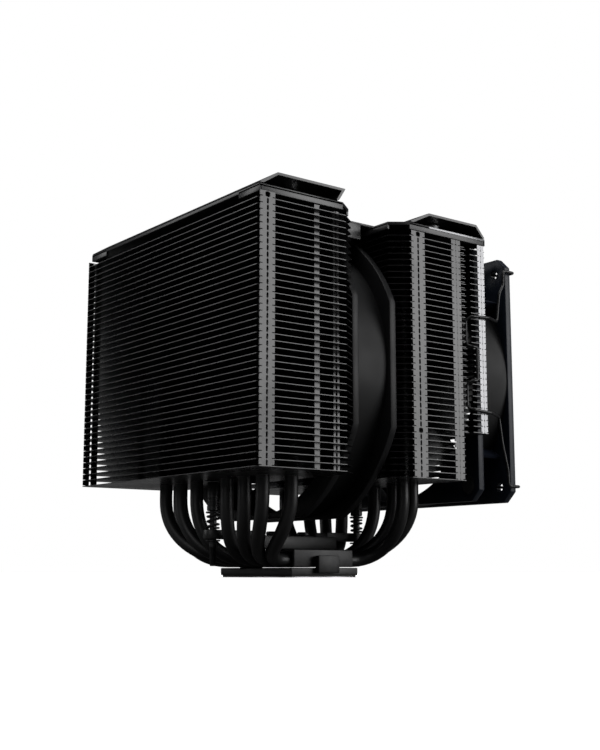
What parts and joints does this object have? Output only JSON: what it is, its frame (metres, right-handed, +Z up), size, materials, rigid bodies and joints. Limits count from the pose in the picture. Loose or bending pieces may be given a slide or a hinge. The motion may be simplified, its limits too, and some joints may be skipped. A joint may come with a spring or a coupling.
{
  "type": "cpu tower cooler",
  "caption": "Twin-tower air cooler for a computer processor: two fin stacks on U-shaped heat pipes, a flat cold plate, a round-framed middle fan and a clipped front fan.",
  "frame": {"origin": "centre of the cold plate's contact face", "axes": "+Z up, away from the processor; X across the fins' width, which is the mirror plane's normal; Y along the fans' axes, from the rear tower (-Y) to the front fan (+Y)"},
  "size_m": [0.1474, 0.1636, 0.165],
  "materials": {
    "plated_base": "black plated copper and aluminium, satin",
    "black_sheet": "black powder-coated steel sheet, satin",
    "dark_screws": "black oxide steel, satin",
    "spring_wire": "dark drawn spring wire, semi-gloss",
    "black_pipes": "black nickel plated copper, satin gloss",
    "black_fins": "black coated aluminium fins, satin",
    "cover_magnets": "nickel plated magnets",
    "fan_magnets": "bonded ferrite ring",
    "fan_frames": "black moulded plastic, matte",
    "fan_blades": "black moulded plastic, semi-gloss",
    "bright_shafts": "ground steel",
    "bearings": "sintered bronze",
    "windings": "enamelled copper windings on a laminated core",
    "rubber_pads": "black soft rubber"
  },
  "bodies": {
    "cooler": {"center_fan_bearing": "bearings", "center_fan_bracket": "black_sheet", "center_fan_frame": "fan_frames", "center_fan_stator": "windings", "cold_plate": "plated_base", "front_bar_screw": "dark_screws", "front_fan_bearing": "bearings", "front_fan_frame": "fan_frames", "front_fan_stator": "windings", "front_left_cover_magnet": "cover_magnets", "front_lower_fin_stack": "black_fins", "front_right_cover_magnet": "cover_magnets", "front_top_plate": "black_sheet", "front_upper_fin_stack": "black_fins", "heat_pipe_1": "black_pipes", "heat_pipe_2": "black_pipes", "heat_pipe_3": "black_pipes", "heat_pipe_4": "black_pipes", "heat_pipe_5": "black_pipes", "heat_pipe_6": "black_pipes", "heat_pipe_7": "black_pipes", "heat_pipe_8": "black_pipes", "left_bracket_screw": "dark_screws", "lower_left_fan_pad": "rubber_pads", "lower_right_fan_pad": "rubber_pads", "mounting_bar": "black_sheet", "pipe_cap": "plated_base", "rear_bar_screw": "dark_screws", "rear_fin_stack": "black_fins", "rear_left_cover_magnet": "cover_magnets", "rear_right_cover_magnet": "cover_magnets", "rear_top_plate": "black_sheet", "right_bracket_screw": "dark_screws", "upper_left_fan_pad": "rubber_pads", "upper_right_fan_pad": "rubber_pads"},
    "center_fan_rotor": {"center_fan_impeller": "fan_blades", "center_fan_shaft": "bright_shafts", "center_fan_magnet_ring": "fan_magnets"},
    "front_fan_rotor": {"front_fan_impeller": "fan_blades", "front_fan_shaft": "bright_shafts", "front_fan_magnet_ring": "fan_magnets"},
    "left_clip": {"left_fan_clip": "spring_wire"},
    "right_clip": {"right_fan_clip": "spring_wire"},
    "rear_cover": {"rear_top_cover": "black_sheet"},
    "front_cover": {"front_top_cover": "black_sheet"},
    "rear_screw_slider": {"rear_spring_collar": "dark_screws", "rear_spring": "spring_wire"},
    "front_screw_slider": {"front_spring_collar": "dark_screws", "front_spring": "spring_wire"},
    "rear_screw": {"rear_mount_screw": "dark_screws", "rear_retaining_ring": "dark_screws"},
    "front_screw": {"front_mount_screw": "dark_screws", "front_retaining_ring": "dark_screws"}
  },
  "joints": [
    {"name": "center_fan_spin", "type": "hinge", "parent": "cooler", "child": "center_fan_rotor", "pos_m": [0, -0.0038, 0.0924], "axis": [0, 1, 0], "continuous": true},
    {"name": "front_fan_spin", "type": "hinge", "parent": "cooler", "child": "front_fan_rotor", "pos_m": [0, 0.0789, 0.0952], "axis": [0, 1, 0], "continuous": true},
    {"name": "right_clip_swing", "type": "hinge", "parent": "cooler", "child": "right_clip", "pos_m": [0.0525, 0.0914, 0.0952], "axis": [0, 0, 1], "range_deg": [0, 12], "stiffness_Nm_per_rad": 0.05},
    {"name": "left_clip_swing", "type": "hinge", "parent": "cooler", "child": "left_clip", "pos_m": [-0.0525, 0.0914, 0.0952], "axis": [0, 0, -1], "range_deg": [0, 12], "stiffness_Nm_per_rad": 0.05},
    {"name": "rear_cover_lift", "type": "slide", "parent": "cooler", "child": "rear_cover", "axis": [0, 0, 1], "range_m": [0, 0.03]},
    {"name": "front_cover_lift", "type": "slide", "parent": "cooler", "child": "front_cover", "axis": [0, 0, 1], "range_m": [0, 0.03]},
    {"name": "rear_screw_press", "type": "slide", "parent": "cooler", "child": "rear_screw_slider", "axis": [0, 0, -1], "range_m": [0, 0.0034], "stiffness_N_per_m": 2500, "deforming": ["rear_spring"]},
    {"name": "rear_screw_turn", "type": "hinge", "parent": "rear_screw_slider", "child": "rear_screw", "pos_m": [0, -0.042, 0.03], "axis": [0, 0, 1], "continuous": true},
    {"name": "front_screw_press", "type": "slide", "parent": "cooler", "child": "front_screw_slider", "axis": [0, 0, -1], "range_m": [0, 0.0034], "stiffness_N_per_m": 2500, "deforming": ["front_spring"]},
    {"name": "front_screw_turn", "type": "hinge", "parent": "front_screw_slider", "child": "front_screw", "pos_m": [0, 0.042, 0.03], "axis": [0, 0, 1], "continuous": true}
  ]
}
